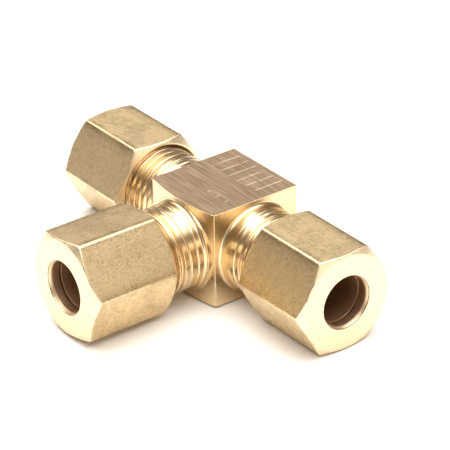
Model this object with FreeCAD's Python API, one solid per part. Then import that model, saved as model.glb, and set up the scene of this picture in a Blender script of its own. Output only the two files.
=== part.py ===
import FreeCAD, Part
import math
import os

os.makedirs("parts", exist_ok=True)

# Union tee for 6.35 mm (1/4 inch) tube, in millimetres.
# The underside's centre is the origin, +Z is up, the run lies along X and the branch points to -Y.

# block and bores
BLOCK = 12.7
BRANCH_BOW = 0.75
FLOW_BORE_R = 2.4
SOCKET_R = 3.2
SOCKET_STOP = 8.5
MOUTH_INNER = 13.38
MOUTH_R = 4.286

# threaded stubs, measured outward from the crossing of the axes
STUB_END = 17.0
COLLAR_R = 5.55
COLLAR_END = 8.05
STUB_CHAMFER = 0.55
SHOULDER_R = 6.0

# thread, 7/16-24, right-handed
PITCH = 25.4 / 24
CREST_R = 5.53
CREST_HALF = 0.08
ROOT_R = 4.90
FLANK_DEG = 30.0
THREAD_FROM = 7.7

# directions in which revolved faces close, away from where the threads start
STUB_SEAM_DEG = 137.0
NUT_SEAM_DEG = 70.0

# clearances of the nut's thread
NUT_CREST_R = 5.66
NUT_CREST_HALF = 0.105
NUT_MINOR_R = 5.05

# nuts
HEX_FLATS = 12.7
NUT_LENGTH = 12.2
NUT_BORE_R = 3.25
NUT_MOUTH_R = 3.5
NUT_MOUTH_STEP = 0.15
NUT_MOUTH_DEPTH = 0.45
NUT_WALL = 1.5
NUT_CHAMFER_DEG = 30.0
NUT_FRONT_FACE_R = 6.15
NUT_REAR_FACE_R = 6.05
NUT_REAR_CONE_R = 5.9
NUT_THREAD_LENGTH = 6.6
CORE_R = 5.98

# sleeves
SLEEVE_LENGTH = 6.35
SLEEVE_BORE_R = 3.2
SLEEVE_NOSE_R = 3.45
SLEEVE_LAND_R = 3.97
SLEEVE_TAPER = 1.9
SLEEVE_DEPTH = 1.75

# each port: turn that carries the outward axis from +Z, the nut's outer face, the hexagon's turn,
# and the shoulder's lift above the block's side
PORTS = {
    "run_right": (FreeCAD.Rotation(FreeCAD.Vector(0, 1, 0), 90), 23.70, 90.0, 0.0),
    "run_left": (FreeCAD.Rotation(FreeCAD.Vector(0, 1, 0), -90), 25.42, 90.0, 0.0),
    "branch": (FreeCAD.Rotation(FreeCAD.Vector(1, 0, 0), 90), 24.13, 6.8, 0.7),
}

UP = FreeCAD.Vector(0, 0, 1)
ZERO = FreeCAD.Vector(0, 0, 0)
CENTRE = FreeCAD.Vector(0, 0, BLOCK / 2)


def turned(points, seam_deg):
    """Solid of revolution about Z of a closed outline of (radius, height) points."""
    outline = [FreeCAD.Vector(r, 0, z) for r, z in points]
    solid = Part.Face(Part.makePolygon(outline + outline[:1])).revolve(ZERO, UP, 360)
    solid.rotate(ZERO, UP, seam_deg)
    return solid


def ridge(crest_r, crest_half, base_r, low, high):
    """Right-handed helical ridge of whole turns, from the lower height up to at least the higher."""
    turns = math.ceil((high - low) / PITCH)
    base_half = crest_half + (crest_r - base_r) * math.tan(math.radians(FLANK_DEG))
    outline = [
        FreeCAD.Vector(base_r, 0, -base_half),
        FreeCAD.Vector(crest_r, 0, -crest_half),
        FreeCAD.Vector(crest_r, 0, crest_half),
        FreeCAD.Vector(base_r, 0, base_half),
    ]
    profile = Part.makePolygon(outline + outline[:1])
    path = Part.makeHelix(PITCH, turns * PITCH, crest_r)
    solid = Part.Wire(path).makePipeShell([profile], True, True)
    solid.translate(FreeCAD.Vector(0, 0, low))
    return solid


def stub():
    """One threaded stub along +Z, solid, from inside the collar to its chamfered end."""
    end_r = CREST_R - STUB_CHAMFER
    core = turned([
        (0, THREAD_FROM),
        (ROOT_R, THREAD_FROM),
        (ROOT_R, STUB_END),
        (0, STUB_END),
    ], STUB_SEAM_DEG)
    thread = ridge(CREST_R, CREST_HALF, ROOT_R - 0.1, THREAD_FROM, STUB_END + PITCH)
    envelope = turned([
        (0, THREAD_FROM),
        (COLLAR_R, THREAD_FROM),
        (COLLAR_R, STUB_END - STUB_CHAMFER),
        (end_r, STUB_END),
        (0, STUB_END),
    ], STUB_SEAM_DEG)
    screw = core.fuse(thread).common(envelope)
    return screw


def shoulder(lift):
    """Round shoulder under a stub, the given lift above the block's side, its fillet and the plain collar."""
    foot = BLOCK / 2 + lift
    fillet = SHOULDER_R - COLLAR_R
    side = math.sqrt(0.5) * fillet
    arc = Part.Arc(
        FreeCAD.Vector(SHOULDER_R, 0, foot),
        FreeCAD.Vector(SHOULDER_R - side, 0, foot + fillet - side),
        FreeCAD.Vector(COLLAR_R, 0, foot + fillet),
    ).toShape()
    rest = Part.makePolygon([
        FreeCAD.Vector(COLLAR_R, 0, foot + fillet),
        FreeCAD.Vector(COLLAR_R, 0, COLLAR_END),
        FreeCAD.Vector(ROOT_R, 0, COLLAR_END + COLLAR_R - ROOT_R),
        FreeCAD.Vector(0, 0, COLLAR_END + COLLAR_R - ROOT_R),
        FreeCAD.Vector(0, 0, BLOCK / 2 - 1),
        FreeCAD.Vector(SHOULDER_R, 0, BLOCK / 2 - 1),
        FreeCAD.Vector(SHOULDER_R, 0, foot),
    ])
    root = Part.Face(Part.Wire([arc] + rest.Edges)).revolve(ZERO, UP, 360)
    root.rotate(ZERO, UP, STUB_SEAM_DEG)
    return root


def bar():
    """The block: a square extruded profile whose side towards the branch is bowed outward."""
    half = BLOCK / 2
    bowed = Part.Arc(
        FreeCAD.Vector(-half, -half, 0),
        FreeCAD.Vector(0, -half - BRANCH_BOW, 0),
        FreeCAD.Vector(half, -half, 0),
    ).toShape()
    others = Part.makePolygon([
        FreeCAD.Vector(half, -half, 0),
        FreeCAD.Vector(half, half, 0),
        FreeCAD.Vector(-half, half, 0),
        FreeCAD.Vector(-half, -half, 0),
    ])
    return Part.Face(Part.Wire([bowed] + others.Edges)).extrude(FreeCAD.Vector(0, 0, BLOCK))


def passage():
    """Space taken out along one port: flow bore, tube socket with its stop, and the mouth's cone."""
    slope = (MOUTH_R - SOCKET_R) / (STUB_END - MOUTH_INNER)
    return turned([
        (0, 0),
        (FLOW_BORE_R, 0),
        (FLOW_BORE_R, SOCKET_STOP),
        (SOCKET_R, SOCKET_STOP),
        (SOCKET_R, MOUTH_INNER),
        (MOUTH_R + slope, STUB_END + 1),
        (0, STUB_END + 1),
    ], STUB_SEAM_DEG)


def nut_core():
    """Round inside of a nut, rear face at height 0: cavity, seat, mouth and the thread's groove."""
    seat = NUT_LENGTH - NUT_WALL
    ring = turned([
        (CORE_R, 0),
        (CORE_R, NUT_LENGTH),
        (NUT_MOUTH_R, NUT_LENGTH),
        (NUT_MOUTH_R, NUT_LENGTH - NUT_MOUTH_STEP),
        (NUT_BORE_R, NUT_LENGTH - NUT_MOUTH_DEPTH),
        (NUT_BORE_R, seat),
        (NUT_MINOR_R, seat - (NUT_MINOR_R - NUT_BORE_R)),
        (NUT_MINOR_R, NUT_REAR_CONE_R - NUT_MINOR_R),
        (NUT_REAR_CONE_R, 0),
    ], NUT_SEAM_DEG)
    groove = ridge(NUT_CREST_R, NUT_CREST_HALF, NUT_MINOR_R - 0.1, -PITCH, NUT_THREAD_LENGTH)
    return ring.cut(groove)


def nut(core, outer, turn_deg):
    """Hexagon nut along +Z in the stub's own frame, its thread in step with the stub's."""
    corner_r = HEX_FLATS / math.sqrt(3)
    rear = outer - NUT_LENGTH
    corners = [math.radians(turn_deg + 60 * k) for k in range(7)]
    hexagon = Part.makePolygon([
        FreeCAD.Vector(corner_r * math.cos(a), corner_r * math.sin(a), 0) for a in corners
    ])
    blank = Part.Face(hexagon).extrude(FreeCAD.Vector(0, 0, NUT_LENGTH))
    slope = math.tan(math.radians(NUT_CHAMFER_DEG))
    far = corner_r + 1
    turned_off = turned([
        (CORE_R, 0),
        (NUT_REAR_FACE_R, 0),
        (far, (far - NUT_REAR_FACE_R) * slope),
        (far, NUT_LENGTH - (far - NUT_FRONT_FACE_R) * slope),
        (NUT_FRONT_FACE_R, NUT_LENGTH),
        (CORE_R, NUT_LENGTH),
    ], NUT_SEAM_DEG)
    shell = blank.common(turned_off)
    inner = core.copy()
    inner.rotate(ZERO, UP, 360 * (rear - THREAD_FROM) / PITCH)
    whole = shell.fuse(inner)
    whole.translate(FreeCAD.Vector(0, 0, rear))
    return whole


def sleeve(outer):
    """Double-tapered compression sleeve behind the seat of the nut whose outer face is given."""
    front = outer - SLEEVE_DEPTH
    back = front - SLEEVE_LENGTH
    return turned([
        (SLEEVE_BORE_R, back),
        (SLEEVE_NOSE_R, back),
        (SLEEVE_LAND_R, back + SLEEVE_TAPER),
        (SLEEVE_LAND_R, front - SLEEVE_TAPER),
        (SLEEVE_NOSE_R, front),
        (SLEEVE_BORE_R, front),
    ], NUT_SEAM_DEG)


def placed(shape, rotation):
    """Carry a shape from its own +Z frame onto a port."""
    moved = shape.copy()
    moved.Placement = FreeCAD.Placement(CENTRE, rotation).multiply(shape.Placement)
    return moved


def save(name, shape):
    """Write one node's STEP file after checking that it is a single sound solid."""
    solid = shape.removeSplitter()
    if not solid.isValid() or len(solid.Solids) != 1:
        raise RuntimeError(name + " is not one valid solid")
    solid.Solids[0].exportStep("parts/" + name + ".step")
    box = solid.BoundBox
    print(name, round(solid.Volume, 1), [round(v, 3) for v in (box.XMin, box.XMax, box.YMin, box.YMax)])


one_stub = stub()
body = bar()
for rotation, outer, turn_deg, lift in PORTS.values():
    body = body.fuse(placed(shoulder(lift), rotation))
for rotation, outer, turn_deg, lift in PORTS.values():
    body = body.fuse(placed(one_stub, rotation))
for rotation, outer, turn_deg, lift in PORTS.values():
    body = body.cut(placed(passage(), rotation))
save("tee_body", body)

core = nut_core()
for port, (rotation, outer, turn_deg, lift) in PORTS.items():
    save(port + "_nut", placed(nut(core, outer, turn_deg), rotation))
    save(port + "_sleeve", placed(sleeve(outer), rotation))
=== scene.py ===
import math

import bpy
import numpy as np
from bpy.props import FloatProperty, FloatVectorProperty, IntProperty, PointerProperty
from mathutils import Matrix, Vector


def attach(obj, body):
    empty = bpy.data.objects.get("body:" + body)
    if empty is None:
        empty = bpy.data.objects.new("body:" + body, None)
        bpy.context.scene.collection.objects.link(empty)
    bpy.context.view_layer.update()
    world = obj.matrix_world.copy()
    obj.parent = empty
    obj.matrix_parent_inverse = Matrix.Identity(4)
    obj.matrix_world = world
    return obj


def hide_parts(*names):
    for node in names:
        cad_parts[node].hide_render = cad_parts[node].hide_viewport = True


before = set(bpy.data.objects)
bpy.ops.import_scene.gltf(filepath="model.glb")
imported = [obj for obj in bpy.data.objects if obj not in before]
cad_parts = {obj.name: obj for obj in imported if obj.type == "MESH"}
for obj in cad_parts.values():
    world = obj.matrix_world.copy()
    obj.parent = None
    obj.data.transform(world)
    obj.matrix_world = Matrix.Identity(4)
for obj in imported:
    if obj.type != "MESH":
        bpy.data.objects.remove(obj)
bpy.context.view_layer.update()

bl_info = {
    "name": "Compression Union Tee",
    "version": (1, 0, 0),
    "blender": (4, 5, 0),
    "location": "View3D > Sidebar > Tee",
    "description": "Builds the brass body, nuts and sleeves of a compression union tee, and its stage",
    "category": "Object",
}

MM = 0.001

# Each port: the rows of its turn from the +Z frame, the nut's outer face (mm), the hexagon's turn (degrees).
PORTS = {
    "run_right": (((0, 0, 1), (0, 1, 0), (-1, 0, 0)), 23.70, 90.0),
    "run_left": (((0, 0, -1), (0, 1, 0), (1, 0, 0)), 25.42, 90.0),
    "branch": (((1, 0, 0), (0, 0, -1), (0, 1, 0)), 24.13, 6.8),
}

# Tool marks on the block's top, in metres: reach and spacing of a coarse hatch and of three short nicks,
# and the height above which they show.
HATCH_X, HATCH_Y = (-0.0046, 0.0046), (0.0018, 0.0052)
STROKE_STEP, STROKE_OFFSET = 0.0017, 0.00935
NICK_X, NICK_Y = (0.0004, 0.0047), (-0.0031, -0.0027)
MARKS_ABOVE = 0.012

# Hidden laps where two patches meet, in millimetres: how far a border runs on below its neighbour's edge,
# how far inward it steps there, and how deep the rows of a border lie that belongs to the neighbour.
LAP_DOWN, LAP_IN, REAR_LAP = 0.3, 0.012, 0.35
BORROWED_ROWS = (0.32, 0.16, 0.05)

# Inside a port, in millimetres: the broken edges' width, a point half way down the mouth's cone (radius,
# distance), and the distances of the extra rows in the socket and the bore.
INSIDE_EDGE = 0.03
MOUTH_MIDDLE = (3.75, 15.2)
SOCKET_ROW, BORE_ROW = 11.0, 6.0

# Width over which a nut's rubbed rims fade, and the length over which its thread runs out, in millimetres.
RIM_FADE, THREAD_FADE = 0.3, 0.3

# The floor's slope towards the branch and its far contact with the block (Y), size and drop, in metres.
FLOOR_SLOPE, FLOOR_CONTACT, FLOOR_REACH, FLOOR_DROP = 0.0160, 0.00635, 2.0, 0.00001

# The dome between horizon and zenith: sine of the height and brightness, then where its warm band starts
# and ends.
DOME = ((0.20, 0.42), (0.36, 0.26), (0.58, 0.28), (0.68, 0.70), (0.76, 2.0))
DOME_TOP = 0.86
BAND_FROM, BAND_WARM, BAND_TO = 0.15, (0.34, 0.58), 0.72
LOW_TINT, HIGH_TINT = (1.0, 0.97, 0.93), (1.0, 1.0, 1.0)

# Soft panels: heading and height in degrees, then the closeness at which each starts and is full.
LEFT_PANEL = (-92.0, 46.0, 0.93, 0.98)
RIGHT_PANEL = (95.0, 18.0, 0.90, 0.97)

# Camera: the point it turns about, its small steps to the right and up (metres), and its sensor's width.
AIM = (0.0, 0.0, 0.00635)
STEP_RIGHT, STEP_UP, SENSOR = -0.0000086, 0.000195, 36.0

NUT_BODY = {"run_right": "right_nut", "run_left": "left_nut", "branch": "branch_nut"}
SLEEVE_BODY = {"run_right": "right_sleeve", "run_left": "left_sleeve", "branch": "branch_sleeve"}


def length(name, text, default):
    """A length property in millimetres."""
    return FloatProperty(name=name, description=text, default=default, min=0.0, precision=3)


def colour(name, text, default):
    """A linear colour property."""
    return FloatVectorProperty(name=name, description=text, default=default,
                               subtype="COLOR", min=0.0, max=1.0)


def angle(name, text, degrees):
    """An angle property, given in degrees."""
    return FloatProperty(name=name, description=text, default=math.radians(degrees), subtype="ANGLE")


def brightness(name, text, default):
    """A brightness property."""
    return FloatProperty(name=name, description=text, default=default, min=0.0)


class TeeBodySizes(bpy.types.PropertyGroup):
    """Sizes of the square block and its threaded stubs, in millimetres."""

    block: length("Block", "Width of the square block", 12.7)
    edge: length("Edge break", "Width of the break along the block's edges", 0.05)
    bow: length("Bow", "How far the block's side bows outward towards the branch", 0.75)
    shoulder: length("Shoulder radius", "Outer radius of the round shoulder under each stub", 6.0)
    lift: length("Branch lift", "Height of the branch's shoulder above the block's side", 0.7)
    collar: length("Collar radius", "Radius of the plain collar at each stub's root", 5.55)
    crest: length("Crest radius", "Radius over the thread's crests", 5.53)
    crest_half: length("Crest half width", "Half the width of a thread's crest", 0.08)
    root: length("Root radius", "Radius at the bottom of the thread", 4.9)
    pitch: length("Pitch", "Distance between neighbouring threads", 25.4 / 24)
    start: length("Thread start", "Distance from the crossing of the axes to the first thread", 7.7)
    plain: length("Plain length", "Distance from the crossing of the axes to the collar's end", 8.05)
    runout: length("Run-out", "Length over which the thread grows to its full depth", 3.0)
    shallow: length("First depth", "Depth of the thread where it starts", 0.07)
    end: length("Stub end", "Distance from the crossing of the axes to a stub's end", 17.0)
    chamfer: length("Chamfer", "Chamfer at a stub's end", 0.55)
    mouth: length("Mouth radius", "Radius of the mouth's cone at a stub's end", 4.286)
    mouth_inner: length("Mouth depth", "Distance from the axes' crossing to the cone's inner end", 13.38)
    socket: length("Socket radius", "Radius of the tube socket", 3.2)
    stop: length("Socket stop", "Distance from the crossing of the axes to the socket's floor", 8.5)
    bore: length("Bore radius", "Radius of the flow bore", 2.4)
    columns: IntProperty(name="Columns", description="Points round a stub", default=240, min=48)


class NutSizes(bpy.types.PropertyGroup):
    """Sizes of a hexagon nut, in millimetres."""

    flats: length("Across flats", "Width of the hexagon over its flats", 12.7)
    long: length("Length", "Length of the nut along its axis", 12.2)
    corner: length("Corner radius", "Radius along the edges between the flats", 0.55)
    crown: length("Crown", "How far the flats fall away beside the rounded edges", 0.06)
    crown_from: length("Crown start", "Distance from a flat's middle at which it falls away", 1.8)
    bore: length("Bore radius", "Radius of the hole for the tube", 3.25)
    mouth: length("Mouth radius", "Radius of the step round the hole's mouth", 3.5)
    step: length("Mouth step", "Depth of the step round the hole's mouth", 0.15)
    sink: length("Mouth depth", "Depth at which the mouth's cone meets the hole", 0.45)
    wall: length("Wall", "Depth of the sleeve's seat behind the front face", 1.5)
    minor: length("Thread minor radius", "Radius inside the thread's crests", 5.05)
    groove: length("Thread groove radius", "Radius at the bottom of the thread's groove", 5.66)
    groove_half: length("Groove half width", "Half the width of the groove's flat bottom", 0.105)
    threaded: length("Threaded length", "Distance behind the rear face at which the thread has run out", 6.9)
    cone: length("Rear cone radius", "Radius of the cone that leads into the thread", 5.9)
    front: length("Front face radius", "Radius of the flat front face inside its chamfer", 6.15)
    rear: length("Rear face radius", "Radius of the flat rear face inside its chamfer", 6.05)


class SleeveSizes(bpy.types.PropertyGroup):
    """Sizes of a double-tapered sleeve, in millimetres."""

    long: length("Length", "Length along the axis", 6.35)
    bore: length("Bore radius", "Radius of the hole for the tube", 3.2)
    nose: length("Nose radius", "Outer radius at both ends", 3.45)
    land: length("Land radius", "Outer radius of the plain middle", 3.97)
    taper: length("Taper", "Length of each taper", 1.9)
    depth: length("Depth", "How far the sleeve lies behind the nut's outer face", 1.75)


class BrassColours(bpy.types.PropertyGroup):
    """Colours of the brass finishes."""

    bright: colour("Bright", "Freshly turned brass", (0.86, 0.71, 0.48))
    drawn: colour("Drawn", "Drawn and lightly dulled brass", (0.78, 0.60, 0.345))
    turned: colour("Turned", "Turned brass of the body", (0.84, 0.66, 0.42))
    dull: colour("Dull", "Olive shade in the mottled drawn skin", (0.44, 0.325, 0.18))
    # Painted shade: a darker, redder colour for the holes' insides, which also have a rougher finish.
    inside: colour("Inside", "Unpolished brass inside the holes", (0.50, 0.31, 0.19))
    # Scuffed brass and scratches; on edges and thread crests this colour also paints highlights.
    pale_scuff_and_highlight: colour("Pale", "Rubbed edges and scratches", (0.96, 0.86, 0.66))
    # Painted shade: reddish brown that deepens in the thread grooves.
    painted_groove_shade: colour("Groove shade", "Reddish shade in the thread grooves", (0.52, 0.33, 0.20))


class StageSettings(bpy.types.PropertyGroup):
    """Floor, light and camera."""

    floor: colour("Floor", "Colour of the floor", (0.97, 0.945, 0.905))
    warmth: colour("Warmth", "Colour of the dim band half way up the dome", (1.0, 0.82, 0.68))
    overhead: brightness("Overhead", "Brightness of the dome overhead", 4.2)
    horizon: brightness("Horizon", "Brightness of the dome near the horizon", 0.55)
    panel: brightness("Panel", "Brightness of the soft panel on the left", 2.0)
    side: brightness("Side", "Brightness of the low panel on the right", 1.3)
    azimuth: angle("Azimuth", "Camera's direction round the object", 53.34)
    elevation: angle("Elevation", "Camera's height above the horizon", 28.885)
    roll: angle("Roll", "Camera's turn about its line of sight", -1.029)
    distance: FloatProperty(name="Distance", description="Camera's distance from the crossing of the axes",
                            default=0.31435, unit="LENGTH")
    lens: FloatProperty(name="Lens", description="Focal length", default=202.49, unit="CAMERA")


# ---------------------------------------------------------------- surfaces

def path_blend(a, b, c, count):
    """Rounded corner a-b-c as rows: the quadratic curve (1-t)^2 a + 2t(1-t) b + t^2 c for t from 0 to 1."""
    t = np.linspace(0.0, 1.0, count)[:, None, None]
    return (1 - t) ** 2 * a + 2 * t * (1 - t) * b + t ** 2 * c


def rounded_loop(corners, cuts, count=5):
    """Rows of a profile loop whose corner k is cut back by cuts[k] along both sides and rounded by
    path_blend."""
    rows = []
    for k, cut in enumerate(cuts):
        here, before, after = corners[k], corners[k - 1], corners[(k + 1) % len(corners)]
        back = (before - here) / np.linalg.norm(before - here, axis=-1, keepdims=True)
        ahead = (after - here) / np.linalg.norm(after - here, axis=-1, keepdims=True)
        rows.append(path_blend(here + cut * back, here, here + cut * ahead, count))
    return rows


def from_helix(s, phi, pitch, start):
    """Distance along the axis from a point to the middle of the nearest ridge of the right-handed helix."""
    turn = (s - start) / pitch - phi / (2 * np.pi)
    return np.abs((turn + 0.5) % 1.0 - 0.5) * pitch


def thread_height(s, phi, pitch, start, half, depth):
    """Ridge height as a share of depth: 1 within half of the helix, falling at 60 degrees beyond it, and
    eased by mixing in its smooth step 3h^2 - 2h^3."""
    u = from_helix(s, phi, pitch, start)
    h = np.clip(1.0 - (u - half) / (np.tan(np.radians(30)) * depth), 0.0, 1.0)
    return 0.55 * h + 0.45 * h * h * (3 - 2 * h)


def cut_depth(s, phi, sizes):
    """Depth of the thread groove below the crests: the tool's depth, which grows with the square from the
    collar, less the distance beyond the groove's flat bottom over tan 30 degrees."""
    full = sizes.crest - sizes.root
    grown = np.clip((s - sizes.plain) / sizes.runout, 0.0, 1.0)
    tool = sizes.shallow + (full - sizes.shallow) * grown ** 2
    bottom = sizes.pitch / 2 - sizes.crest_half - full * np.tan(np.radians(30))
    away = sizes.pitch / 2 - from_helix(s, phi, sizes.pitch, sizes.start)
    return np.clip(tool - np.maximum(away - bottom, 0.0) / np.tan(np.radians(30)), 0.0, tool)


def around(radius, s, phi):
    """Points (radius cos phi, radius sin phi, s) of a surface round +Z."""
    return np.stack(np.broadcast_arrays(radius * np.cos(phi), radius * np.sin(phi), s), axis=-1)


def onto_port(points, port, block):
    """Turn points from the +Z frame onto a port and lift them to the crossing of the axes, in metres."""
    turn = np.array(PORTS[port][0], dtype=float)
    return (points @ turn.T + np.array([0.0, 0.0, block / 2])) * MM


def patch(points, wrap_rows=False, wrap_columns=False, flip=False, **masks):
    """One grid of points with what is needed to mesh it: quads, a profile map and named masks."""
    rows, columns = points.shape[:2]
    index = np.arange(rows * columns).reshape(rows, columns)
    down = np.linalg.norm(np.diff(points, axis=0), axis=-1).mean(axis=1)
    v = np.concatenate([[0.0], np.cumsum(down)])
    u = np.linspace(0.0, 1.0, columns + 1 if wrap_columns else columns)
    if wrap_rows:
        index = np.vstack([index, index[:1]])
        v = np.append(v, v[-1] + np.linalg.norm(points[0] - points[-1], axis=-1).mean())
    if wrap_columns:
        index = np.hstack([index, index[:, :1]])
    uu, vv = np.meshgrid(u, v / MM)
    corner = [(slice(None, -1), slice(None, -1)), (slice(None, -1), slice(1, None)),
              (slice(1, None), slice(1, None)), (slice(1, None), slice(None, -1))]
    if flip:
        corner.reverse()
    quads = np.stack([index[c] for c in corner], axis=-1).reshape(-1, 4)
    uv = np.stack([np.stack([uu[c], vv[c]], axis=-1) for c in corner], axis=-2).reshape(-1, 2)
    full = {name: np.broadcast_to(values, (rows, columns)).reshape(-1) for name, values in masks.items()}
    return {"points": points.reshape(-1, 3), "quads": quads, "uv": uv, "masks": full}


def make_piece(name, patches, material):
    """Join patches into one mesh. Each vertex normal is the area-weighted sum of the normals of the faces
    round it."""
    starts = np.cumsum([0] + [len(p["points"]) for p in patches])
    points = np.vstack([p["points"] for p in patches])
    quads = np.vstack([p["quads"] + start for p, start in zip(patches, starts)])
    uv = np.vstack([p["uv"] for p in patches])
    q = points[quads]
    faces = np.cross(q[:, 2] - q[:, 0], q[:, 3] - q[:, 1])
    normals = np.stack([
        np.bincount(quads.reshape(-1), weights=np.repeat(faces[:, axis], 4), minlength=len(points))
        for axis in range(3)
    ], axis=-1)
    normals /= np.maximum(np.linalg.norm(normals, axis=-1, keepdims=True), 1e-20)

    mesh = bpy.data.meshes.new(name)
    mesh.vertices.add(len(points))
    mesh.vertices.foreach_set("co", points.astype(np.float32).ravel())
    mesh.loops.add(quads.size)
    mesh.loops.foreach_set("vertex_index", quads.astype(np.int32).ravel())
    mesh.polygons.add(len(quads))
    mesh.polygons.foreach_set("loop_start", np.arange(0, quads.size, 4, dtype=np.int32))
    mesh.polygons.foreach_set("use_smooth", np.ones(len(quads), dtype=bool))
    layer = mesh.uv_layers.new(name="Profile")
    layer.data.foreach_set("uv", uv.astype(np.float32).ravel())
    for mask in patches[0]["masks"]:
        attribute = mesh.attributes.new(mask, "FLOAT", "POINT")
        values = np.concatenate([p["masks"][mask] for p in patches])
        attribute.data.foreach_set("value", values.astype(np.float32))
    mesh.update(calc_edges=True)
    mesh.normals_split_custom_set_from_vertices(normals.astype(np.float32))
    mesh.materials.append(material)
    piece = bpy.data.objects.new(name, mesh)
    bpy.context.scene.collection.objects.link(piece)
    return piece


def side_height(port, across, sizes):
    """Distance of the block's side from the crossing, across = distance from the stub's axis along the run.
    The branch side is a parabola over the block's width; the others are flat."""
    face = sizes.block / 2
    bow = sizes.bow if port == "branch" else 0.0
    return face + bow * (1 - (across / face) ** 2)


def port_surface(port, sizes):
    """One port of the body as a function of angle and distance along a path that starts under the block's
    edge, rounds the edge, crosses the side, follows the shoulder, its fillet, the collar and the helical
    thread to the stub's end, and comes back down the mouth, socket and flow bore."""
    face, e = sizes.block / 2, sizes.edge
    phi = np.arange(sizes.columns) * 2 * np.pi / sizes.columns
    cos, sin = np.cos(phi), np.sin(phi)
    sideways = np.abs(sin) > np.abs(cos) + 1e-9
    main, cross = np.where(sideways, sin, cos), np.where(sideways, cos, sin)
    ratio, sign = cross / np.abs(main), np.sign(main)
    if port == "branch":
        meets_branch, owns, lift = np.zeros_like(sideways), sideways, sizes.lift
    else:
        meets_branch, owns, lift = sideways & (sin < 0), np.ones_like(sideways), 0.0

    def on_side(lateral, sink=0.0):
        """Points of this port's side at a distance across the square, sunk by a depth."""
        x = np.where(sideways, lateral * ratio, sign * lateral)
        y = np.where(sideways, sign * lateral, lateral * ratio)
        return np.stack([x, y, side_height(port, x, sizes) - sink], axis=-1)

    def on_neighbour(down, inset=0.0):
        """Points of the neighbouring side below the edge, where it may be the bowed one."""
        lateral = np.where(meets_branch, side_height("branch", face - down, sizes), face) - inset
        x = np.where(sideways, face * ratio, sign * lateral)
        y = np.where(sideways, sign * lateral, face * ratio)
        return np.stack([x, y, side_height(port, np.where(sideways, x, face), sizes) - down], axis=-1)

    inner, edge = on_side(face - e), on_side(face)
    side, tuck = on_neighbour(e), on_neighbour(e + LAP_DOWN, LAP_IN)
    keep = owns[:, None]
    tuck = np.where(keep, tuck, on_side(face - e, BORROWED_ROWS[0]))
    side = np.where(keep, side, on_side(face - e, BORROWED_ROWS[1]))
    edge = np.where(keep, edge, on_side(face - e, BORROWED_ROWS[2]))
    rows = [tuck[None], path_blend(side, edge, inner, 6)]
    # Edge mask per row: painted highlight, with scuffing, across the block's rounded edge.
    scuff_and_highlight_rows = [np.zeros((1, 1)), np.sin(np.linspace(0, np.pi, 6))[:, None] * owns]
    grooves = [np.zeros((7, 1))]

    start_r = (face - e) * np.hypot(1, ratio)
    radius = start_r + (sizes.shoulder - start_r) * np.linspace(0.0, 1.0, 25)[1:, None]
    rows.append(around(radius, side_height(port, radius * cos, sizes), phi))
    fillet = sizes.shoulder - sizes.collar
    foot = face + lift
    least = side_height(port, sizes.shoulder * cos, sizes)
    if lift:
        wall = np.maximum(np.array([[foot - 0.06], [foot]]), least + np.array([[0.02], [0.04]]))
        rows.append(around(sizes.shoulder - np.array([[0.0], [0.03]]), wall, phi))
    angle = np.linspace(0.0, np.pi / 2, 15)[1:, None]
    bend = np.maximum(foot + fillet * (1 - np.cos(angle)), least + 0.05 * angle)
    rows.append(around(sizes.shoulder - fillet * np.sin(angle), bend, phi))
    crossed = sum(len(block) for block in rows[2:])
    scuff_and_highlight_rows.append(np.zeros((crossed, 1)))
    grooves.append(np.zeros((crossed, 1)))

    first = foot + fillet
    count = int(round((sizes.end - first) / sizes.pitch * 24))
    s = np.linspace(first, sizes.end, count + 1)[1:, None]
    cut = np.where(s > sizes.plain, cut_depth(s, phi, sizes), 0.0)
    plain = np.clip(sizes.collar - (s - sizes.plain), sizes.crest, sizes.collar)
    radius = np.minimum(plain - cut, sizes.crest - sizes.chamfer + (sizes.end - s))
    rows.append(around(radius, s, phi))
    share = np.clip(cut / (sizes.crest - sizes.root), 0.0, 1.0)
    # Edge mask on the thread's crests: painted highlight, with scuffing.
    scuff_and_highlight_rows.append(np.where(cut > 0, np.clip(1 - share * 14, 0, 1), 0.0))
    # Groove mask by depth: painted reddish shade.
    grooves.append(np.clip(share * 1.3, 0, 1))

    tail = [
        (sizes.mouth + 2 * INSIDE_EDGE, sizes.end),
        (sizes.mouth - INSIDE_EDGE, sizes.end - 2 * INSIDE_EDGE),
        MOUTH_MIDDLE,
        (sizes.socket, sizes.mouth_inner),
        (sizes.socket, sizes.mouth_inner - 0.08),
        (sizes.socket, SOCKET_ROW),
        (sizes.socket, sizes.stop + 0.02),
        (sizes.socket - INSIDE_EDGE, sizes.stop),
        (sizes.bore + INSIDE_EDGE, sizes.stop),
        (sizes.bore, sizes.stop - INSIDE_EDGE),
        (sizes.bore, BORE_ROW),
    ]
    rows.append(around(np.array(tail)[:, :1], np.array(tail)[:, 1:], phi))
    if port == "branch":
        meeting = sizes.bore * np.abs(cos)
    else:
        meeting = sizes.bore * np.maximum(-sin, 0.0)
    rows.append(around(np.full((1, 1), sizes.bore), meeting[None], phi))
    scuff_and_highlight_rows.append(np.zeros((len(tail) + 1, 1)))
    grooves.append(np.zeros((len(tail) + 1, 1)))
    # The mouth, socket and bore: painted darker and redder as shade, and rougher.
    within = np.zeros((sum(len(m) for m in scuff_and_highlight_rows), 1))
    within[-len(tail):] = 1.0

    points = onto_port(np.concatenate(rows), port, sizes.block)
    ones = np.ones(len(phi))
    edge_mask = np.concatenate([m * ones for m in scuff_and_highlight_rows])
    groove_mask = np.concatenate([g * ones for g in grooves])
    return patch(points, wrap_columns=True, edge=edge_mask, groove=groove_mask, within=within)


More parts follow.
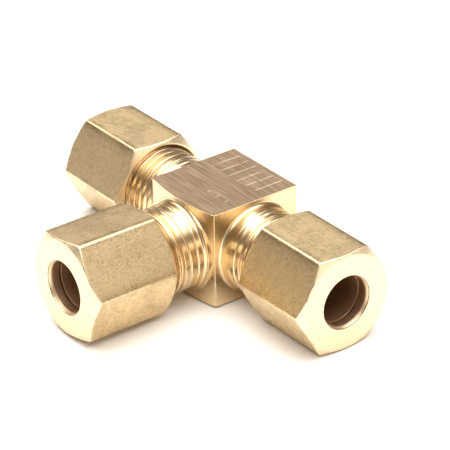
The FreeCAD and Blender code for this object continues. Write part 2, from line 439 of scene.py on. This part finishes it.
def block_faces(sizes):
    """Top, bottom and back of the block. Top and bottom blend four borders, the one towards the branch
    curved: the sum of the two straight blends between facing borders less the blend of the corners. The back
    is a profile across Z carried along X."""
    face, e = sizes.block / 2, sizes.edge
    n = 64
    reach = face - e
    w = np.linspace(-reach, reach, n)
    bulge = side_height("branch", w, sizes) - e
    u = np.linspace(0, 1, n)[None, :, None]
    v = np.linspace(0, 1, n)[:, None, None]
    level = np.full(n, face)
    front = np.stack([w, -bulge, level], axis=-1)[None]
    back = np.stack([w, np.full(n, reach), level], axis=-1)[None]
    left = np.stack([np.full(n, -reach), np.linspace(-bulge[0], reach, n), level], axis=-1)[:, None]
    right = np.stack([np.full(n, reach), np.linspace(-bulge[-1], reach, n), level], axis=-1)[:, None]
    corners = ((1 - u) * (1 - v) * front[:, :1] + u * (1 - v) * front[:, -1:]
               + (1 - u) * v * back[:, :1] + u * v * back[:, -1:])
    top = (1 - v) * front + v * back + (1 - u) * left + u * right - corners
    lift = np.array([0.0, 0.0, face])
    flip = np.array([1.0, 1.0, -1.0])
    none = {name: np.zeros((1, 1)) for name in ("edge", "groove", "within")}

    def rounded(sign):
        """The rounded edge at the top (sign 1) or the bottom (sign -1), from the back inwards."""
        points = np.array([[face, sign * reach], [face, sign * face], [reach, sign * face]])
        return path_blend(*points[:, None], 6)[:, 0]

    middle = np.stack([np.full(30, face), np.linspace(-reach, reach, 32)[1:-1]], axis=-1)
    hidden = np.array([[reach - REAR_LAP, -face + LAP_IN], [reach - REAR_LAP, face - LAP_IN]])
    profile = np.vstack([hidden[:1], rounded(-1)[::-1], middle, rounded(1), hidden[1:]])
    y, z = profile[:, :1], profile[:, 1:]
    x = reach * np.linspace(-1, 1, 48)[None, :]
    rear = np.stack(np.broadcast_arrays(x, y, z), axis=-1)
    bevel = np.sin(np.linspace(0, np.pi, 6))
    # Edge mask on the back's rounded edges: painted highlight, with scuffing.
    edge_rows = np.concatenate([[0.0], bevel, np.zeros(len(middle)), bevel, [0.0]])
    return [
        patch((top + lift) * MM, **none),
        patch((top * flip + lift) * MM, flip=True, **none),
        patch((rear + lift) * MM, flip=True, **{**none, "edge": edge_rows[:, None]}),
    ]


def corner_arc(sizes):
    """Distance from the axis to a rounded corner's centre, and half the angle that the rounding spans."""
    away = (sizes.flats / 2 - sizes.corner) / np.cos(np.pi / 6)
    return away, np.arctan2(sizes.corner / 2, away + sizes.corner * np.cos(np.pi / 6))


def hexagon_radius(delta, sizes):
    """Polar radius of a hexagon with rounded corners, delta = angle from the nearest corner. Beside the
    corners the flats fall away with the square of the distance past the crown's start."""
    inner = sizes.flats / 2
    away, limit = corner_arc(sizes)
    arc = away * np.cos(delta) + np.sqrt(np.maximum(sizes.corner ** 2 - (away * np.sin(delta)) ** 2, 0.0))
    flat = inner / np.cos(np.pi / 6 - np.abs(delta))
    along = inner * np.tan(np.pi / 6 - np.maximum(np.abs(delta), limit))
    last = inner * np.tan(np.pi / 6 - limit)
    fall = np.clip((np.abs(along) - sizes.crown_from) / (last - sizes.crown_from), 0.0, 1.0) ** 2
    return np.where(np.abs(delta) < limit, arc, flat) - sizes.crown * fall


def nut_surface(port, sizes, pitch, start, block):
    """One nut as a closed ring: a profile loop carried round the axis, its radius following the hexagon on
    the outside, cones at both ends and the helical groove inside."""
    outer, turn_deg = PORTS[port][1:]
    limit = corner_arc(sizes)[1]
    near = np.linspace(-limit * 1.02, limit * 1.02, 15)
    far = np.linspace(limit * 1.02, np.pi / 3 - limit * 1.02, 20)[1:-1]
    sector = np.concatenate([near, far])
    delta = np.tile(sector, 6)
    phi = delta + np.repeat(np.arange(6) * np.pi / 3, len(sector)) + np.radians(turn_deg)
    wrapped = (delta + np.pi / 6) % (np.pi / 3) - np.pi / 6
    hexa = hexagon_radius(wrapped, sizes)
    slope = np.tan(np.pi / 6)
    ones = np.ones_like(phi)

    def at(r, z):
        return np.stack([r * ones, z * ones], axis=-1)

    seat = sizes.long - sizes.wall
    inner_end = seat - (sizes.minor - sizes.bore)
    corners = [
        at(sizes.cone, 0.0), at(sizes.rear, 0.0),
        at(hexa, (hexa - sizes.rear) * slope), at(hexa, sizes.long - (hexa - sizes.front) * slope),
        at(sizes.front, sizes.long), at(sizes.mouth, sizes.long), at(sizes.mouth, sizes.long - sizes.step),
        at(sizes.bore, sizes.long - sizes.sink), at(sizes.bore, seat), at(sizes.minor, inner_end),
    ]
    cuts = [0.04, 0.10, 0.16, 0.16, 0.22, 0.03, 0.05, 0.12, 0.08, 0.1]
    loops = rounded_loop(corners, cuts)
    z = np.linspace(inner_end - 0.15, 0.06, 168)[:, None]
    s = z + outer - sizes.long
    depth = sizes.groove - sizes.minor
    fade = np.clip((sizes.threaded - z) / THREAD_FADE, 0, 1)
    rise = thread_height(s, phi, pitch, start, sizes.groove_half, depth) * fade
    radius = np.maximum(sizes.minor + depth * rise, sizes.cone - z)
    inside = np.stack(np.broadcast_arrays(radius, z), axis=-1)
    loop = np.concatenate(loops + [inside])
    bevel = np.sin(np.linspace(0, np.pi, 5))
    rim = np.exp(-((hexa - sizes.flats / np.sqrt(3)) / RIM_FADE) ** 2)
    corner_share = 0.45 * np.clip(1 - np.abs(wrapped) / (0.35 * limit), 0, 1)
    # Edge mask per profile corner and on the rounded hex corners: painted highlight, with scuffing.
    scuff_and_highlight_shares = (0.5, 0.3, 0.5, 0.5, 0.0, 0.3, 0.0, 0.2, 0.2, 0.0)
    edge = [bevel[:, None] * ones * share for share in scuff_and_highlight_shares]
    edge[2] = np.maximum(edge[2], corner_share)
    edge[3] = np.maximum(edge[3], corner_share)
    drawn = [np.zeros((5, 1)) * ones for _ in corners]
    drawn[2] = np.array([0, 0, 0.5, 1, 1])[:, None] * ones
    drawn[3] = np.array([1, 1, 0.5, 0, 0])[:, None] * ones
    flat = np.zeros((len(z), 1)) * ones
    # Darker, redder brass inside the hole: painted shade, with a rougher finish.
    rough_and_shaded = (0, 0, 0, 0, 0, 0, 0, 0.7, 1, 1)
    within = [np.full((5, 1), share) * ones for share in rough_and_shaded]
    points = onto_port(around(loop[..., 0], loop[..., 1] + outer - sizes.long, phi), port, block)
    return patch(points, wrap_rows=True, wrap_columns=True, edge=np.concatenate(edge + [flat]),
                 drawn=np.concatenate(drawn + [flat]), within=np.concatenate(within + [flat + 1]),
                 rim=rim[None])


def sleeve_surface(port, sizes, block):
    """One sleeve as a closed ring: a six-cornered profile loop carried round the axis."""
    front = PORTS[port][1] - sizes.depth
    back = front - sizes.long
    phi = np.arange(120) * 2 * np.pi / 120
    ones = np.ones_like(phi)
    outline = [(sizes.bore, back), (sizes.nose, back), (sizes.land, back + sizes.taper),
               (sizes.land, front - sizes.taper), (sizes.nose, front), (sizes.bore, front)]
    corners = [np.stack([r * ones, s * ones], axis=-1) for r, s in outline]
    loop = np.concatenate(rounded_loop(corners, [0.05, 0.06, 0.2, 0.2, 0.06, 0.05]))
    points = onto_port(around(loop[..., 0], loop[..., 1], phi), port, block)
    # The bore is painted darker and redder as shade, and is rougher.
    within = np.repeat([1.0, 0.0, 0.0, 0.0, 0.0, 1.0], 5)
    within[[0, 1, -2, -1]] = [0.0, 0.3, 0.3, 1.0]
    return patch(points, wrap_rows=True, wrap_columns=True, within=within[:, None])


# ---------------------------------------------------------------- finishes

def wire(tree, source, target):
    """Link an output socket to an input socket."""
    tree.links.new(source, target)


def group(name, inputs, outputs):
    """A shader node group with named value, colour or vector sockets."""
    tree = bpy.data.node_groups.new(name, "ShaderNodeTree")
    for label, kind, default in inputs:
        socket = tree.interface.new_socket(name=label, in_out="INPUT", socket_type=kind)
        if default is not None:
            socket.default_value = default
    for label, kind in outputs:
        tree.interface.new_socket(name=label, in_out="OUTPUT", socket_type=kind)
    return tree, tree.nodes.new("NodeGroupInput"), tree.nodes.new("NodeGroupOutput")


def math_node(tree, operation, *values):
    """A Math node; each value is a number or a socket. Returns its output."""
    node = tree.nodes.new("ShaderNodeMath")
    node.operation = operation
    for slot, value in zip(node.inputs, values):
        if isinstance(value, (int, float)):
            slot.default_value = value
        else:
            tree.links.new(value, slot)
    return node.outputs[0]


def blend_value(tree, factor, a, b):
    """A value that runs from a to b with the factor; each is a number or a socket."""
    return math_node(tree, "MULTIPLY_ADD", math_node(tree, "SUBTRACT", b, a), factor, a)


def mix_colour(tree, factor, a, b):
    """A colour Mix node; factor and colours are values or sockets. Returns its output."""
    node = tree.nodes.new("ShaderNodeMix")
    node.data_type = "RGBA"
    for slot, value in ((node.inputs["Factor"], factor), (node.inputs[6], a), (node.inputs[7], b)):
        if hasattr(value, "links"):
            tree.links.new(value, slot)
        elif isinstance(value, (int, float)):
            slot.default_value = value
        else:
            slot.default_value = (*value[:3], 1.0)
    return node.outputs[2]


def remap(tree, value, low, high, to_low=0.0, to_high=1.0):
    """A smooth Map Range node. Returns its output."""
    node = tree.nodes.new("ShaderNodeMapRange")
    node.interpolation_type = "SMOOTHSTEP"
    tree.links.new(value, node.inputs["Value"])
    for label, number in (("From Min", low), ("From Max", high), ("To Min", to_low), ("To Max", to_high)):
        node.inputs[label].default_value = number
    return node.outputs["Result"]


def noise(tree, vector, scale, detail=2.0, roughness=0.5, stretch=None):
    """A Noise Texture on a vector, stretched by a Mapping node if asked. Returns its factor."""
    if stretch:
        mapping = tree.nodes.new("ShaderNodeMapping")
        mapping.inputs["Scale"].default_value = stretch
        tree.links.new(vector, mapping.inputs["Vector"])
        vector = mapping.outputs[0]
    node = tree.nodes.new("ShaderNodeTexNoise")
    node.inputs["Scale"].default_value = scale
    node.inputs["Detail"].default_value = detail
    node.inputs["Roughness"].default_value = roughness
    tree.links.new(vector, node.inputs["Vector"])
    return node.outputs["Fac"]


def skin_group():
    """Mottled drawn skin: cloudy dull patches, grain drawn out along the flats, and sparse dings."""
    tree, into, out = group(
        "Drawn Skin",
        [("Vector", "NodeSocketVector", None), ("Profile", "NodeSocketVector", None)],
        [("Patches", "NodeSocketFloat"), ("Grain", "NodeSocketFloat"), ("Dings", "NodeSocketFloat")],
    )
    vector = into.outputs["Vector"]
    cloud = noise(tree, vector, 240.0, 4.0, 0.65)
    fine = noise(tree, vector, 1700.0, 3.0, 0.65)
    wire(tree, remap(tree, blend_value(tree, 0.6, fine, cloud), 0.42, 0.62), out.inputs["Patches"])
    speck = noise(tree, vector, 4200.0, 2.0, 0.7)
    streak = noise(tree, into.outputs["Profile"], 1.0, 2.0, 0.6, stretch=(230.0, 1.1, 1.0))
    wire(tree, blend_value(tree, 0.35, speck, streak), out.inputs["Grain"])
    cells = tree.nodes.new("ShaderNodeTexVoronoi")
    cells.inputs["Scale"].default_value = 950.0
    wire(tree, vector, cells.inputs["Vector"])
    spots = remap(tree, cells.outputs["Distance"], 0.10, 0.26, 1.0, 0.0)
    chosen = remap(tree, noise(tree, vector, 500.0, 1.0), 0.50, 0.60)
    wire(tree, math_node(tree, "MULTIPLY", spots, chosen), out.inputs["Dings"])
    return tree


def turning_group():
    """Tool marks left by turning: rings that change along the profile and hardly round it."""
    tree, into, out = group(
        "Turning Marks",
        [("Profile", "NodeSocketVector", None)],
        [("Rings", "NodeSocketFloat"), ("Streaks", "NodeSocketFloat")],
    )
    profile = into.outputs["Profile"]
    wire(tree, noise(tree, profile, 1.0, 3.0, 0.6, stretch=(1.5, 14.0, 1.0)), out.inputs["Rings"])
    wire(tree, noise(tree, profile, 1.0, 2.0, 0.5, stretch=(5.0, 3.0, 1.0)), out.inputs["Streaks"])
    return tree


def brushed_group():
    """Sawn and brushed faces: fine lines along X that change with Y + Z, so they show on the top and the
    back alike, over broader bands, with broken hatching near one edge of the top."""
    tree, into, out = group(
        "Brushed Face",
        [("Vector", "NodeSocketVector", None)],
        [(label, "NodeSocketFloat") for label in ("Lines", "Bands", "Hatch", "Nicks")],
    )
    split = tree.nodes.new("ShaderNodeSeparateXYZ")
    wire(tree, into.outputs["Vector"], split.inputs[0])
    x, y, z = split.outputs["X"], split.outputs["Y"], split.outputs["Z"]
    join = tree.nodes.new("ShaderNodeCombineXYZ")
    wire(tree, x, join.inputs["X"])
    wire(tree, math_node(tree, "ADD", y, z), join.inputs["Y"])
    vector = join.outputs[0]
    fine = noise(tree, vector, 1.0, 1.0, 0.5, stretch=(150.0, 6500.0, 150.0))
    finer = noise(tree, vector, 1.0, 1.0, 0.5, stretch=(300.0, 12000.0, 300.0))
    wire(tree, blend_value(tree, 0.5, fine, finer), out.inputs["Lines"])
    wire(tree, noise(tree, vector, 1.0, 2.0, 0.5, stretch=(60.0, 1300.0, 60.0)), out.inputs["Bands"])

    def between(value, low, high, soft):
        """1 from low to high, falling to 0 over the soft width outside them."""
        rising = remap(tree, value, low - soft, low)
        return math_node(tree, "MULTIPLY", rising, remap(tree, value, high, high + soft, 1.0, 0.0))

    comb = math_node(tree, "PINGPONG", math_node(tree, "ADD", x, STROKE_OFFSET), STROKE_STEP / 2)
    strokes = remap(tree, comb, 0.00003, 0.00009, 1.0, 0.0)
    strokes = math_node(tree, "MULTIPLY", strokes, remap(tree, z, MARKS_ABOVE - 0.001, MARKS_ABOVE))
    broken = remap(tree, noise(tree, vector, 1.0, 2.0, 0.6, stretch=(900.0, 600.0, 900.0)), 0.36, 0.48)
    area = math_node(tree, "MULTIPLY", between(x, *HATCH_X, 0.0003), between(y, *HATCH_Y, 0.0008))
    hatch = math_node(tree, "MULTIPLY", strokes, math_node(tree, "MULTIPLY", broken, area))
    wire(tree, hatch, out.inputs["Hatch"])
    spot = math_node(tree, "MULTIPLY", between(x, *NICK_X, 0.0001), between(y, *NICK_Y, 0.0001))
    wire(tree, math_node(tree, "MULTIPLY", strokes, spot), out.inputs["Nicks"])
    return tree


def start_material(name):
    """A node material with its Principled BSDF, and the node tree's coordinates."""
    material = bpy.data.materials.new(name)
    material.use_nodes = True
    tree = material.node_tree
    shader = tree.nodes["Principled BSDF"]
    shader.inputs["Metallic"].default_value = 1.0
    place = tree.nodes.new("ShaderNodeTexCoord")
    return material, tree, shader, place


def attribute(tree, name):
    """The piece's own named mask."""
    node = tree.nodes.new("ShaderNodeAttribute")
    node.attribute_name = name
    return node.outputs["Fac"]


def use_group(tree, name, **inputs):
    """Place a shared node group in a material."""
    node = tree.nodes.new("ShaderNodeGroup")
    node.node_tree = bpy.data.node_groups[name]
    for label, socket in inputs.items():
        tree.links.new(socket, node.inputs[label])
    return node.outputs


def bump(tree, height, strength, distance, shader):
    """Feed a height in metres' scale to the shader's normal."""
    node = tree.nodes.new("ShaderNodeBump")
    node.inputs["Strength"].default_value = strength
    node.inputs["Distance"].default_value = distance
    tree.links.new(height, node.inputs["Height"])
    tree.links.new(node.outputs[0], shader.inputs["Normal"])


def scuffed_and_highlit(tree, edge, vector):
    """The edge mask, which paints highlights along with scuffing, broken up by soft noise so that both come
    and go along an edge.
    """
    scuff_and_highlight_noise = remap(tree, noise(tree, vector, 900.0, 3.0, 0.7), 0.38, 0.62, 0.10, 0.55)
    return math_node(tree, "MULTIPLY", edge, scuff_and_highlight_noise)


def turned_brass(colours):
    """Turned brass for the ports: rings along the profile, scuffed edges and crests with painted highlights,
    painted reddish shade in the grooves, painted darker shade in the holes.
    """
    material, tree, shader, place = start_material("Turned brass")
    rings = use_group(tree, "Turning Marks", Profile=place.outputs["UV"])
    groove, within = attribute(tree, "groove"), attribute(tree, "within")
    base = mix_colour(tree, remap(tree, rings["Streaks"], 0.3, 0.7), colours.turned, colours.drawn)
    base = mix_colour(tree, remap(tree, rings["Rings"], 0.42, 0.68, 0.0, 0.35), base, colours.dull)
    # Painted shade: the grooves turn reddish brown with their depth.
    base = mix_colour(tree, math_node(tree, "MULTIPLY", groove, 0.5), base, colours.painted_groove_shade)
    # Painted highlights, with scuffing: the block's rounded edges and the thread crests take the scuff
    # colour.
    base = mix_colour(tree, scuffed_and_highlit(tree, attribute(tree, "edge"), place.outputs["Object"]), base, colours.pale_scuff_and_highlight)
    # Painted shade: the holes' insides take a darker, redder colour and a rougher finish.
    wire(tree, mix_colour(tree, within, base, colours.inside), shader.inputs["Base Color"])
    rough = math_node(tree, "MULTIPLY_ADD", rings["Rings"], 0.16, 0.10)
    rough = math_node(tree, "MULTIPLY_ADD", groove, 0.10, rough)
    wire(tree, blend_value(tree, within, rough, 0.6), shader.inputs["Roughness"])
    bump(tree, rings["Rings"], 0.35, 0.00004, shader)
    return material


def brushed_brass(colours):
    """Brushed brass for the block's top, bottom and back."""
    material, tree, shader, place = start_material("Brushed brass")
    marks = use_group(tree, "Brushed Face", Vector=place.outputs["Object"])
    base = mix_colour(tree, remap(tree, marks["Lines"], 0.36, 0.64), (0.27, 0.19, 0.12), (0.60, 0.44, 0.285))
    base = mix_colour(tree, remap(tree, marks["Bands"], 0.35, 0.65, 0.0, 0.3), base, (0.36, 0.255, 0.16))
    edge = scuffed_and_highlit(tree, attribute(tree, "edge"), place.outputs["Object"])
    scratch = math_node(tree, "MAXIMUM", math_node(tree, "MAXIMUM", marks["Hatch"], marks["Nicks"]), edge)
    # Hatch and nicks are scratches; on the rounded edges the scuff colour is also a painted highlight.
    base = mix_colour(tree, math_node(tree, "MULTIPLY", scratch, 0.85), base, colours.pale_scuff_and_highlight)
    wire(tree, base, shader.inputs["Base Color"])
    wire(tree, math_node(tree, "MULTIPLY_ADD", marks["Lines"], 0.16, 0.34), shader.inputs["Roughness"])
    height = math_node(tree, "MULTIPLY_ADD", marks["Hatch"], -0.8, marks["Lines"])
    bump(tree, height, 0.5, 0.00004, shader)
    return material


def nut_brass(colours):
    """Brass for the nuts: mottled drawn skin on the flats, smooth turned ends, scuffed edges with painted
    highlights, painted shade inside the hole.
    """
    material, tree, shader, place = start_material("Nut brass")
    vector = place.outputs["Object"]
    skin = use_group(tree, "Drawn Skin", Vector=vector, Profile=place.outputs["UV"])
    rings = use_group(tree, "Turning Marks", Profile=place.outputs["UV"])
    drawn, within = attribute(tree, "drawn"), attribute(tree, "within")
    patches = math_node(tree, "MULTIPLY", skin["Patches"], 0.55)
    mottled = mix_colour(tree, patches, colours.drawn, colours.dull)
    mottled = mix_colour(tree, remap(tree, skin["Grain"], 0.47, 0.60, 0.0, 0.60), mottled, colours.dull)
    smudge = remap(tree, noise(tree, vector, 520.0, 4.0, 0.7), 0.40, 0.60, 0.0, 0.6)
    smudge = math_node(tree, "MULTIPLY", attribute(tree, "rim"), smudge)
    mottled = mix_colour(tree, smudge, mottled, colours.dull)
    mottled = mix_colour(tree, math_node(tree, "MULTIPLY", skin["Dings"], 0.5), mottled, colours.dull)
    ends = mix_colour(tree, remap(tree, rings["Rings"], 0.35, 0.7, 0.0, 0.3), colours.bright, colours.drawn)
    base = mix_colour(tree, drawn, ends, mottled)
    # Painted highlights, with scuffing, along the profile's edges and the rounded hex corners.
    base = mix_colour(tree, scuffed_and_highlit(tree, attribute(tree, "edge"), vector), base, colours.pale_scuff_and_highlight)
    # Painted shade: the hole and the seat take a darker, redder colour and a rougher finish.
    wire(tree, mix_colour(tree, within, base, colours.inside), shader.inputs["Base Color"])
    rough_drawn = math_node(tree, "MULTIPLY_ADD", skin["Patches"], 0.14, 0.36)
    rough_drawn = math_node(tree, "MULTIPLY_ADD", attribute(tree, "rim"), -0.20, rough_drawn)
    rough_ends = math_node(tree, "MULTIPLY_ADD", rings["Rings"], 0.10, 0.24)
    rough = blend_value(tree, drawn, rough_ends, rough_drawn)
    wire(tree, blend_value(tree, within, rough, 0.5), shader.inputs["Roughness"])
    pits = math_node(tree, "MULTIPLY_ADD", skin["Dings"], -0.4, skin["Grain"])
    bump(tree, blend_value(tree, drawn, rings["Rings"], pits), 0.55, 0.00006, shader)
    return material


def sleeve_brass(colours):
    """Turned brass for the sleeves, rougher in the hole and painted darker there as shade."""
    material, tree, shader, place = start_material("Sleeve brass")
    rings = use_group(tree, "Turning Marks", Profile=place.outputs["UV"])
    within = attribute(tree, "within")
    base = mix_colour(tree, remap(tree, rings["Streaks"], 0.3, 0.7), colours.bright, colours.drawn)
    # Painted shade: the bore takes a darker, redder colour and a rougher finish.
    wire(tree, mix_colour(tree, within, base, colours.inside), shader.inputs["Base Color"])
    rough = math_node(tree, "MULTIPLY_ADD", rings["Rings"], 0.12, 0.16)
    wire(tree, blend_value(tree, within, rough, 0.6), shader.inputs["Roughness"])
    bump(tree, rings["Rings"], 0.15, 0.00002, shader)
    return material


# ---------------------------------------------------------------- stage

def make_floor(settings):
    """The floor: a plane that slopes towards the branch and just touches the block's rear lower edge."""
    material, _, shader, _ = start_material("Pale floor")
    shader.inputs["Metallic"].default_value = 0.0
    shader.inputs["Roughness"].default_value = 0.45
    shader.inputs["Base Color"].default_value = (*settings.floor, 1.0)
    across = np.array([-FLOOR_REACH, FLOOR_REACH])
    y = across[:, None]
    z = (y - FLOOR_CONTACT) * FLOOR_SLOPE - FLOOR_DROP
    points = np.stack(np.broadcast_arrays(across[None, :], y, z), axis=-1)
    return make_piece("floor", [patch(points)], material)


def make_ramp(nodes, height, stops):
    """A colour ramp over the sine of the height. Returns its colour."""
    ramp = nodes.nodes.new("ShaderNodeValToRGB")
    elements = ramp.color_ramp.elements
    elements[0].position = stops[0][0]
    elements[1].position = stops[-1][0]
    for position, _ in stops[1:-1]:
        elements.new(position)
    for element, (_, value) in zip(elements, stops):
        element.color = (*value, 1.0)
    wire(nodes, height, ramp.inputs[0])
    return ramp.outputs[0]


def soft_panel(nodes, direction, place, strength):
    """A round soft panel: the closeness of a direction to the panel's own, their dot product, remapped."""
    heading, height = math.radians(place[0]), math.radians(place[1])
    node = nodes.nodes.new("ShaderNodeVectorMath")
    node.operation = "DOT_PRODUCT"
    node.inputs[1].default_value = (
        math.cos(height) * math.sin(heading), -math.cos(height) * math.cos(heading), math.sin(height))
    wire(nodes, direction, node.inputs[0])
    return remap(nodes, node.outputs["Value"], place[2], place[3], 0.0, strength)


def make_light(settings):
    """The world: a soft dome whose brightness and warmth change with height, and two soft panels."""
    world = bpy.data.worlds.new("Soft dome")
    world.use_nodes = True
    nodes = world.node_tree
    background = nodes.nodes["Background"]
    direction = nodes.nodes.new("ShaderNodeTexCoord").outputs["Generated"]
    split = nodes.nodes.new("ShaderNodeSeparateXYZ")
    wire(nodes, direction, split.inputs[0])
    height = split.outputs["Z"]
    levels = [(0.0, settings.horizon), *DOME, (DOME_TOP, settings.overhead)]
    share = make_ramp(nodes, height, [(at, (value / settings.overhead,) * 3) for at, value in levels])
    tints = [(BAND_FROM, LOW_TINT), *((at, settings.warmth) for at in BAND_WARM), (BAND_TO, HIGH_TINT)]
    wire(nodes, make_ramp(nodes, height, tints), background.inputs["Color"])
    left = soft_panel(nodes, direction, LEFT_PANEL, settings.panel)
    right = soft_panel(nodes, direction, RIGHT_PANEL, settings.side)
    strength = math_node(nodes, "MULTIPLY", share, settings.overhead)
    strength = math_node(nodes, "ADD", strength, math_node(nodes, "ADD", left, right))
    wire(nodes, strength, background.inputs["Strength"])
    return world


def make_camera(settings):
    """The camera: backed off from the crossing of the axes along its azimuth and elevation, then rolled."""
    az, el, roll = settings.azimuth, settings.elevation, settings.roll
    back = Vector((math.sin(az) * math.cos(el), -math.cos(az) * math.cos(el), math.sin(el)))
    level = (-back).cross(Vector((0, 0, 1))).normalized()
    above = level.cross(-back)
    right = math.cos(roll) * level + math.sin(roll) * above
    up = math.cos(roll) * above - math.sin(roll) * level
    lens = bpy.data.cameras.new("Camera")
    lens.sensor_fit = "HORIZONTAL"
    lens.sensor_width = SENSOR
    lens.lens = settings.lens
    lens.clip_start = 0.01
    lens.clip_end = 20.0
    camera = bpy.data.objects.new("Camera", lens)
    centre = Vector(AIM) + back * settings.distance + right * STEP_RIGHT + up * STEP_UP
    camera.matrix_world = Matrix.Translation(centre) @ Matrix((right, up, back)).transposed().to_4x4()
    return camera


# ---------------------------------------------------------------- operators

class TEE_OT_finishes(bpy.types.Operator):
    """Build the brass finishes that the pieces share"""

    bl_idname = "tee.finishes"
    bl_label = "Brass finishes"

    def execute(self, context):
        colours = context.scene.tee_colours
        skin_group()
        turning_group()
        brushed_group()
        for build in (turned_brass, brushed_brass, nut_brass, sleeve_brass):
            build(colours)
        return {"FINISHED"}


class TEE_OT_body(bpy.types.Operator):
    """Build the body: three threaded ports and the block's other faces"""

    bl_idname = "tee.body"
    bl_label = "Tee body"

    def execute(self, context):
        sizes = context.scene.tee_body
        turned = bpy.data.materials["Turned brass"]
        for port in PORTS:
            piece = make_piece("body_" + port + "_port", [port_surface(port, sizes)], turned)
            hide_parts("tee_body")
            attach(piece, "body")
        piece = make_piece("body_block_faces", block_faces(sizes), bpy.data.materials["Brushed brass"])
        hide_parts("tee_body")
        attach(piece, "body")
        return {"FINISHED"}


class TEE_OT_nuts(bpy.types.Operator):
    """Build the three hexagon nuts"""

    bl_idname = "tee.nuts"
    bl_label = "Nuts"

    def execute(self, context):
        body, sizes = context.scene.tee_body, context.scene.tee_nut
        for port in PORTS:
            surface = nut_surface(port, sizes, body.pitch, body.start, body.block)
            piece = make_piece(port + "_hex_nut", [surface], bpy.data.materials["Nut brass"])
            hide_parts(port + "_nut")
            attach(piece, NUT_BODY[port])
        return {"FINISHED"}


class TEE_OT_sleeves(bpy.types.Operator):
    """Build the three compression sleeves"""

    bl_idname = "tee.sleeves"
    bl_label = "Sleeves"

    def execute(self, context):
        body, sizes = context.scene.tee_body, context.scene.tee_sleeve
        smooth = bpy.data.materials["Sleeve brass"]
        for port in PORTS:
            piece = make_piece(port + "_ferrule", [sleeve_surface(port, sizes, body.block)], smooth)
            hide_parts(port + "_sleeve")
            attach(piece, SLEEVE_BODY[port])
        return {"FINISHED"}


class TEE_OT_stage(bpy.types.Operator):
    """Build the floor, the soft dome of light and the camera"""

    bl_idname = "tee.stage"
    bl_label = "Stage"

    def execute(self, context):
        scene, settings = context.scene, context.scene.tee_stage
        floor = make_floor(settings)
        scene.world = make_light(settings)
        camera = make_camera(settings)
        scene.collection.objects.link(camera)
        scene.camera = camera
        scene.view_settings.view_transform = "Standard"
        scene.view_settings.look = "None"
        return {"FINISHED"}


class TEE_PT_panel(bpy.types.Panel):
    """Lists the operators and their settings"""

    bl_idname = "TEE_PT_panel"
    bl_label = "Compression Union Tee"
    bl_space_type = "VIEW_3D"
    bl_region_type = "UI"
    bl_category = "Tee"

    def draw(self, context):
        for owner, operator in PANEL_ROWS:
            box = self.layout.box()
            box.operator(operator)
            settings = getattr(context.scene, owner)
            for name in settings.__annotations__:
                box.prop(settings, name)


PANEL_ROWS = (
    ("tee_colours", "tee.finishes"),
    ("tee_body", "tee.body"),
    ("tee_nut", "tee.nuts"),
    ("tee_sleeve", "tee.sleeves"),
    ("tee_stage", "tee.stage"),
)
SETTINGS = {
    "tee_colours": BrassColours,
    "tee_body": TeeBodySizes,
    "tee_nut": NutSizes,
    "tee_sleeve": SleeveSizes,
    "tee_stage": StageSettings,
}
CLASSES = (
    *SETTINGS.values(),
    TEE_OT_finishes,
    TEE_OT_body,
    TEE_OT_nuts,
    TEE_OT_sleeves,
    TEE_OT_stage,
    TEE_PT_panel,
)


def register():
    for item in CLASSES:
        bpy.utils.register_class(item)
    for name, kind in SETTINGS.items():
        setattr(bpy.types.Scene, name, PointerProperty(type=kind))


def unregister():
    for name in SETTINGS:
        delattr(bpy.types.Scene, name)
    for item in reversed(CLASSES):
        bpy.utils.unregister_class(item)


def main():
    register()
    bpy.ops.tee.finishes()
    bpy.ops.tee.body()
    bpy.ops.tee.nuts()
    bpy.ops.tee.sleeves()
    bpy.ops.tee.stage()
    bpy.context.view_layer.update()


if __name__ == "__main__":
    main()
